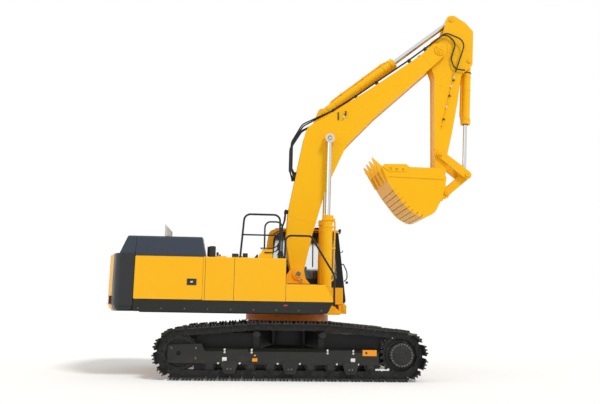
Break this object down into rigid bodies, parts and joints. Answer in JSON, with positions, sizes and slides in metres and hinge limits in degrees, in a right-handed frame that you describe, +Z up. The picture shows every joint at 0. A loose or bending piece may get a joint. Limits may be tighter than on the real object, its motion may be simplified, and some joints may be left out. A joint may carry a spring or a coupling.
{
  "type": "crawler excavator",
  "caption": "Crawler excavator with steel tracks, a slewing cab and engine deck, a two-piece digging arm and a toothed bucket.",
  "frame": {"origin": "on the ground, under the slewing axis", "axes": "+X forward along the tracks and the boom, +Y to the machine's left, +Z up"},
  "size_m": [7.6298, 3.19, 7.9181],
  "materials": {
    "body_yellow": "gloss enamel",
    "dark_paint": "satin enamel",
    "hood_slate": "satin enamel",
    "track_steel": "dark forged steel",
    "rod_chrome": "hard chrome",
    "bearing": "shop primer",
    "glass": "clear glass",
    "trim_plastic": "black moulded plastic",
    "seat_cloth": "woven seat cloth",
    "stack_steel": "aluminised steel"
  },
  "bodies": {
    "undercarriage": {"car_body": "dark_paint", "track_frame_right": "dark_paint", "track_frame_left": "dark_paint", "track_right": "track_steel", "track_left": "track_steel", "rollers_right": "track_steel", "rollers_left": "track_steel", "idler_right": "track_steel", "idler_left": "track_steel", "sprocket_right": "track_steel", "sprocket_left": "track_steel", "slew_ring": "bearing"},
    "upper": {"upper_frame": "body_yellow", "counterweight": "dark_paint", "engine_block": "track_steel", "bay_walls": "body_yellow", "rear_cover": "hood_slate", "tank_body": "body_yellow", "left_housing": "body_yellow", "side_skirts": "dark_paint", "toolbox": "body_yellow", "exhaust": "stack_steel", "handrails": "trim_plastic", "cab_shell": "body_yellow", "cab_roof": "body_yellow", "cab_glass": "glass", "cab_seat": "seat_cloth", "cab_console": "trim_plastic"},
    "engine_hood": {"engine_hood": "hood_slate"},
    "service_door_right": {"service_door_right": "body_yellow"},
    "service_door_left": {"service_door_left": "body_yellow"},
    "toolbox_lid": {"toolbox_lid": "trim_plastic"},
    "cab_door": {"cab_door": "body_yellow"},
    "boom": {"boom": "body_yellow", "boom_pipes": "track_steel"},
    "arm": {"arm": "body_yellow"},
    "bucket": {"bucket": "body_yellow", "bucket_teeth": "body_yellow"},
    "boom_barrels": {"boom_cylinder_barrels": "body_yellow"},
    "boom_rods": {"boom_cylinder_rods": "rod_chrome"},
    "arm_barrel": {"arm_cylinder_barrel": "body_yellow"},
    "arm_rod": {"arm_cylinder_rod": "rod_chrome"},
    "bucket_barrel": {"bucket_cylinder_barrel": "body_yellow"},
    "bucket_rod": {"bucket_cylinder_rod": "rod_chrome"},
    "guide_links": {"guide_links": "body_yellow"},
    "bucket_link": {"bucket_link": "body_yellow"}
  },
  "joints": [
    {"name": "swing", "type": "hinge", "parent": "undercarriage", "child": "upper", "pos_m": [0, 0, 1.1], "axis": [0, 0, 1], "continuous": true},
    {"name": "boom_lift", "type": "hinge", "parent": "upper", "child": "boom", "pos_m": [0.2, 0, 2], "axis": [0, -1, 0], "range_deg": [-105, 4]},
    {"name": "arm_crowd", "type": "hinge", "parent": "boom", "child": "arm", "pos_m": [3.296, 0, 7.038], "axis": [0, 1, 0], "range_deg": [-118, 4]},
    {"name": "bucket_curl", "type": "hinge", "parent": "arm", "child": "bucket", "pos_m": [3.25, 0, 4.235], "axis": [0, 1, 0], "range_deg": [-116, 20]},
    {"name": "boom_cylinder_foot", "type": "hinge", "parent": "upper", "child": "boom_barrels", "pos_m": [0.764, 0, 1.56], "axis": [0, -1, 0], "range_deg": [-113.79, 5.3]},
    {"name": "boom_cylinder_stroke", "type": "slide", "parent": "boom_barrels", "child": "boom_rods", "axis": [0.0163, 0, 0.9999], "range_m": [-1.0833, 0.0509]},
    {"name": "arm_cylinder_base", "type": "hinge", "parent": "boom", "child": "arm_barrel", "pos_m": [0.722, 0, 5.519], "axis": [0, 1, 0], "range_deg": [-1.39, 1.01]},
    {"name": "arm_cylinder_stroke", "type": "slide", "parent": "arm_barrel", "child": "arm_rod", "axis": [0.7807, 0, 0.625], "range_m": [-1.4341, 0.0583]},
    {"name": "bucket_cylinder_base", "type": "hinge", "parent": "arm", "child": "bucket_barrel", "pos_m": [3.977, 0, 6.845], "axis": [0, 1, 0], "range_deg": [-1.26, 2.5]},
    {"name": "bucket_cylinder_stroke", "type": "slide", "parent": "bucket_barrel", "child": "bucket_rod", "axis": [-0.052, 0, -0.9986], "range_m": [-0.901, 0.1636]},
    {"name": "guide_link_pivot", "type": "hinge", "parent": "arm", "child": "guide_links", "pos_m": [3.262, 0, 4.66], "axis": [0, 1, 0], "range_deg": [-76.4, 14]},
    {"name": "bucket_link_pivot", "type": "hinge", "parent": "guide_links", "child": "bucket_link", "pos_m": [3.84, 0, 4.213], "axis": [0, 1, 0], "range_deg": [-9.57, 50.7]},
    {"name": "cab_door_hinge", "type": "hinge", "parent": "upper", "child": "cab_door", "pos_m": [0.113, 1.482, 2], "axis": [0, 0, 1], "range_deg": [0, 165]},
    {"name": "engine_hood_hinge", "type": "hinge", "parent": "upper", "child": "engine_hood", "pos_m": [-1.9, 0, 2.24], "axis": [0, 1, 0], "range_deg": [0, 50]},
    {"name": "service_door_right_hinge", "type": "hinge", "parent": "upper", "child": "service_door_right", "pos_m": [-2.896, -1.47, 1.8], "axis": [0, 0, -1], "range_deg": [0, 110]},
    {"name": "service_door_left_hinge", "type": "hinge", "parent": "upper", "child": "service_door_left", "pos_m": [-2.896, 1.47, 1.8], "axis": [0, 0, 1], "range_deg": [0, 110]},
    {"name": "toolbox_lid_hinge", "type": "hinge", "parent": "upper", "child": "toolbox_lid", "pos_m": [0.25, -0.92, 1.7513], "axis": [-1, 0, 0], "range_deg": [0, 95]}
  ],
  "couplings": [
    {"joint": "boom_cylinder_foot", "follows": "boom_lift", "ratio": 1.0742},
    {"joint": "boom_cylinder_stroke", "follows": "boom_lift", "m_per_rad": 0.58567},
    {"joint": "arm_cylinder_base", "follows": "arm_crowd", "ratio": 0.003305},
    {"joint": "arm_cylinder_stroke", "follows": "arm_crowd", "m_per_rad": 0.69148},
    {"joint": "bucket_cylinder_base", "follows": "bucket_curl", "ratio": -0.012931},
    {"joint": "bucket_cylinder_stroke", "follows": "bucket_curl", "m_per_rad": 0.44009},
    {"joint": "guide_link_pivot", "follows": "bucket_curl", "ratio": 0.65},
    {"joint": "bucket_link_pivot", "follows": "bucket_curl", "ratio": -0.42845}
  ]
}
